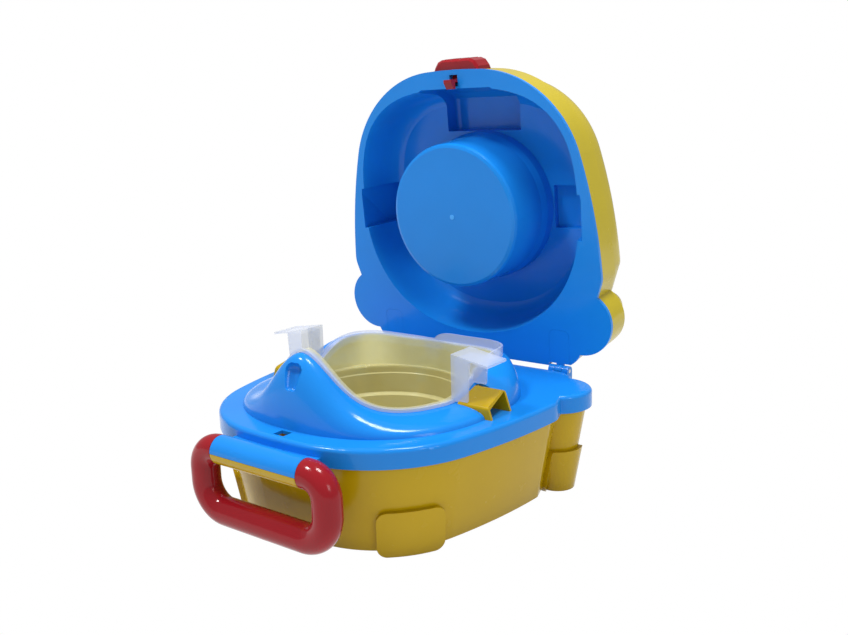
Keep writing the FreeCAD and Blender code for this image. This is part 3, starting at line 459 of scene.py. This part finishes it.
def plain_mesh(carrier, name):
    """The evaluated carrier as a plain mesh object; the carrier itself is removed."""
    graph = bpy.context.evaluated_depsgraph_get()
    mesh = bpy.data.meshes.new_from_object(carrier.evaluated_get(graph))
    mesh.name = name
    bpy.data.objects.remove(carrier)
    piece = bpy.data.objects.new(name, mesh)
    bpy.context.collection.objects.link(piece)
    return piece


# ---- operators --------------------------------------------------------------------------------
class POTTY_OT_mouldings(bpy.types.Operator):
    """Finish the deck, tub, lid, hinge plates, handle and latch as moulded plastic"""
    bl_idname = "potty.mouldings"
    bl_label = "Mouldings"
    bl_options = {"REGISTER", "UNDO"}

    def execute(self, context):
        settings = context.scene.potty
        # nodes, material name, colour, how much rougher than the middle
        jobs = ((("seat_deck", "lid_liner", "hinge_plate_right", "hinge_plate_left"),
                 "Blue polypropylene", settings.blue, 0.0),
                (("base_tub", "finger_channel_right", "finger_channel_left"),
                 "Yellow polypropylene", settings.yellow, 0.04),
                (("lid_shell",), "Lid yellow polypropylene", settings.lid_yellow, 0.04),
                (("latch_button", "latch_hook", "handle_front", "handle_rear"),
                 "Red polypropylene", settings.red, -0.04))
        for nodes, name, colour, rougher in jobs:
            finish_nodes(nodes, moulded(name, colour, settings.roughness + rougher))
        return {"FINISHED"}


class POTTY_OT_bowl(bpy.types.Operator):
    """Finish the bowl as cloudy clear plastic, with a painted glow of the yellow tub inside its
    mouth
    """
    bl_idname = "potty.bowl"
    bl_label = "Clear bowl"
    bl_options = {"REGISTER", "UNDO"}

    def execute(self, context):
        plug, _ = lid_frame()
        haze = context.scene.potty.haze
        finish_nodes(["bowl"], clear_moulded("Cloudy clear polypropylene", haze, plug.y))
        return {"FINISHED"}


class POTTY_OT_pins(bpy.types.Operator):
    """Finish the pins and the handle's spindle as drawn steel"""
    bl_idname = "potty.pins"
    bl_label = "Steel pins"
    bl_options = {"REGISTER", "UNDO"}

    def execute(self, context):
        drawn = steel("Drawn steel", shade=0.55, roughness=0.28)
        finish_nodes(["hinge_pin_right", "hinge_pin_left", "handle_spindle", "latch_pin"], drawn)
        return {"FINISHED"}


class POTTY_OT_screws(bpy.types.Operator):
    """Put screws with crossed heads where the deck's and the handle's screws are"""
    bl_idname = "potty.screws"
    bl_label = "Crossed screws"
    bl_options = {"REGISTER", "UNDO"}

    def execute(self, context):
        group = screw_group(steel("Zinc-plated steel", shade=0.5, roughness=0.32))
        # node, body, axis along the screws, heads at its high end, turn of the group's screw
        jobs = (("deck_screws", "base", 2, False, (math.pi, 0.0, 0.0)),
                ("handle_screws", "handle", 1, True, (-math.pi / 2, 0.0, 0.0)))
        for node, body, axis, high_end, turn in jobs:
            spots = []
            # the screws of one node are alike, so the last one's sizes serve for all
            for low, high in islands(frame["nodes"][node]):
                head = (high.x - low.x) / 2
                tall = HEAD_TALL * head
                long = high[axis] - low[axis]
                spot = (low + high) / 2
                spot[axis] = high[axis] - tall / 2 if high_end else low[axis] + tall / 2
                spots.append(spot)
            mesh = bpy.data.meshes.new(node + "_points")
            mesh.from_pydata(spots, [], [])
            carrier = bpy.data.objects.new(node + "_points", mesh)
            bpy.context.collection.objects.link(carrier)
            modifier = carrier.modifiers.new("Screws", "NODES")
            modifier.node_group = group
            values = {"Head radius": head, "Head height": tall,
                      "Shank radius": SHANK_THICK * head, "Shank length": long - tall / 2,
                      "Turn": turn, "Seed": context.scene.potty.screw_seed}
            for label, value in values.items():
                modifier[socket_id(group, label)] = value
            piece = plain_mesh(carrier, node + "_crossed")
            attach(piece, body)
            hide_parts(node)
        return {"FINISHED"}


class POTTY_OT_spring(bpy.types.Operator):
    """Wind the latch spring on its pin, with one leg on the lid's rim and one on the button"""
    bl_idname = "potty.spring"
    bl_label = "Latch spring"
    bl_options = {"REGISTER", "UNDO"}

    def execute(self, context):
        settings = context.scene.potty
        wire, coil = settings.wire_radius, settings.coil_radius
        low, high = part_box("latch_spring")
        pin_low, pin_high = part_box("latch_pin")
        centre = (Vector(pin_low) + Vector(pin_high)) / 2
        centre.x = 0
        turn = lid_frame()[1].to_3x3()
        start, end = low[0] + wire, high[0] - wire
        steps = COIL_STEPS * settings.coil_turns + COIL_STEPS // 2
        path = [Vector((start, coil, z)) for z in RIM_LEG]
        for i in range(steps + 1):
            angle = 2 * math.pi * i / COIL_STEPS
            x = start + (end - start) * i / steps
            path.append(Vector((x, coil * math.cos(angle), coil * math.sin(angle))))
        path += [Vector((end, -coil, z)) for z in BUTTON_LEG]
        points, faces = tube([turn @ spot for spot in path], wire)
        points = [point + centre for point in points]
        finish = steel("Spring wire", shade=0.45, roughness=0.25)
        piece = add_mesh("latch_spring_wound", points, faces, finish)
        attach(piece, "lid")
        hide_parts("latch_spring")
        return {"FINISHED"}


class POTTY_OT_marks(bpy.types.Operator):
    """Add the moulding mark in the middle of the lid's plug"""
    bl_idname = "potty.marks"
    bl_label = "Moulding marks"
    bl_options = {"REGISTER", "UNDO"}

    def execute(self, context):
        settings = context.scene.potty
        radius, height, sides = settings.gate_radius, settings.gate_height, GATE_SIDES
        face, opened = lid_frame()
        # a low button: its foot, its shoulder and its top
        rings = ((radius, 0.0), (radius, -height * GATE_SHOULDER), (radius * GATE_TOP, -height))
        points = []
        for reach, z in rings:
            for k in range(sides):
                angle = 2 * math.pi * k / sides
                spot = Vector((reach * math.cos(angle), reach * math.sin(angle), z))
                points.append(opened @ (face + spot))
        faces = []
        for ring in (0, 1):
            for k in range(sides):
                a, b = ring * sides + k, ring * sides + (k + 1) % sides
                faces.append((a + sides, b + sides, b, a))
        faces.append(tuple(range(2 * sides, 3 * sides))[::-1])
        faces.append(tuple(range(sides)))
        # painted highlight: the mark is painted paler than the blue so that it shows as a light
        # spot
        painted_highlight_blue = [min(1.0, 1.5 * c + 0.06) for c in settings.blue]
        finish = moulded("Gate mark", painted_highlight_blue, settings.roughness)
        piece = add_mesh("plug_gate_mark", points, faces, finish, False)
        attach(piece, "lid")
        return {"FINISHED"}


class POTTY_OT_stage(bpy.types.Operator):
    """Set the floor, the lamps, the sky and the camera"""
    bl_idname = "potty.stage"
    bl_label = "Stage"
    bl_options = {"REGISTER", "UNDO"}

    def execute(self, context):
        context.scene.view_settings.view_transform = "Standard"
        self.floor()
        self.sky(context.scene)
        self.lamps()
        self.camera(context.scene)
        return {"FINISHED"}

    def white_when_seen(self, tree, shader, strength):
        """White when seen, mirrored or looked through, and the given shader otherwise."""
        path = add(tree, "ShaderNodeLightPath")
        seen = path.outputs["Is Camera Ray"]
        for ray in ("Is Glossy Ray", "Is Transmission Ray"):
            either = add(tree, "ShaderNodeMath", operation="MAXIMUM")
            tree.links.new(seen, either.inputs[0])
            tree.links.new(path.outputs[ray], either.inputs[1])
            seen = either.outputs[0]
        white = add(tree, "ShaderNodeEmission")
        white.inputs["Strength"].default_value = strength
        mix = add(tree, "ShaderNodeMixShader")
        tree.links.new(seen, mix.inputs["Fac"])
        tree.links.new(shader, mix.inputs[1])
        tree.links.new(white.outputs[0], mix.inputs[2])
        return mix.outputs[0]

    def floor(self):
        material, tree, bsdf = new_material("Pale floor")
        bsdf.inputs["Base Color"].default_value = (0.75, 0.75, 0.75, 1)
        bsdf.inputs["Roughness"].default_value = 0.9
        output = tree.nodes["Material Output"]
        tree.links.new(self.white_when_seen(tree, bsdf.outputs[0], 1.0), output.inputs["Surface"])
        corners = [(x * FLOOR_HALF, y * FLOOR_HALF, -FLOOR_UNDER)
                   for x, y in ((-1, -1), (1, -1), (1, 1), (-1, 1))]
        floor = add_mesh("floor", corners, [(0, 1, 2, 3)], material, False)

    def sky(self, scene):
        world = bpy.data.worlds.new("Pale sky")
        scene.world = world
        world.use_nodes = True
        tree = world.node_tree
        dim = tree.nodes["Background"]
        dim.inputs["Color"].default_value = SKY_COLOUR
        dim.inputs["Strength"].default_value = SKY_STRENGTH
        path = add(tree, "ShaderNodeLightPath")
        white = add(tree, "ShaderNodeBackground")
        white.inputs["Color"].default_value = (1, 1, 1, 1)
        mix = add(tree, "ShaderNodeMixShader")
        tree.links.new(path.outputs["Is Camera Ray"], mix.inputs["Fac"])
        tree.links.new(dim.outputs[0], mix.inputs[1])
        tree.links.new(white.outputs[0], mix.inputs[2])
        tree.links.new(mix.outputs[0], tree.nodes["World Output"].inputs["Surface"])

    def lamps(self):
        for name, place, aim, size, watts in LAMPS:
            light = bpy.data.lights.new(name, "AREA")
            light.size = size
            light.energy = watts
            lamp = bpy.data.objects.new(name, light)
            lamp.location = place
            lamp.rotation_euler = (Vector(aim) - Vector(place)).to_track_quat("-Z", "Y").to_euler()
            bpy.context.collection.objects.link(lamp)

    def camera(self, scene):
        lens = bpy.data.cameras.new("Camera")
        lens.sensor_width = 36.0
        lens.lens = LENS
        lens.clip_start = 0.01
        eye = bpy.data.objects.new("Camera", lens)
        bpy.context.collection.objects.link(eye)
        swing, drop, roll = (math.radians(t) for t in (EYE_SWING, EYE_DROP, EYE_ROLL))
        aim = Matrix.Rotation(swing, 4, "Z") @ Matrix.Rotation(math.pi / 2 - drop, 4, "X")
        aim = aim @ Matrix.Rotation(roll, 4, "Z")
        eye.matrix_world = Matrix.Translation(Vector(EYE)) @ aim
        scene.camera = eye


OPERATORS = (POTTY_OT_mouldings, POTTY_OT_bowl, POTTY_OT_pins, POTTY_OT_screws, POTTY_OT_spring,
             POTTY_OT_marks, POTTY_OT_stage)


class POTTY_PT_panel(bpy.types.Panel):
    """Lists the steps that dress the potty"""
    bl_idname = "POTTY_PT_panel"
    bl_label = "Travel potty"
    bl_space_type = "VIEW_3D"
    bl_region_type = "UI"
    bl_category = "Potty"

    def draw(self, context):
        for name in PottySettings.__annotations__:
            self.layout.prop(context.scene.potty, name)
        for operator in OPERATORS:
            self.layout.operator(operator.bl_idname)


def register():
    for cls in (PottySettings, *OPERATORS, POTTY_PT_panel):
        bpy.utils.register_class(cls)
    bpy.types.Scene.potty = bpy.props.PointerProperty(type=PottySettings)


def unregister():
    del bpy.types.Scene.potty
    for cls in (POTTY_PT_panel, *reversed(OPERATORS), PottySettings):
        bpy.utils.unregister_class(cls)


def main():
    register()
    for operator in OPERATORS:
        group, call = operator.bl_idname.split(".")
        getattr(getattr(bpy.ops, group), call)()


if __name__ == "__main__":
    main()
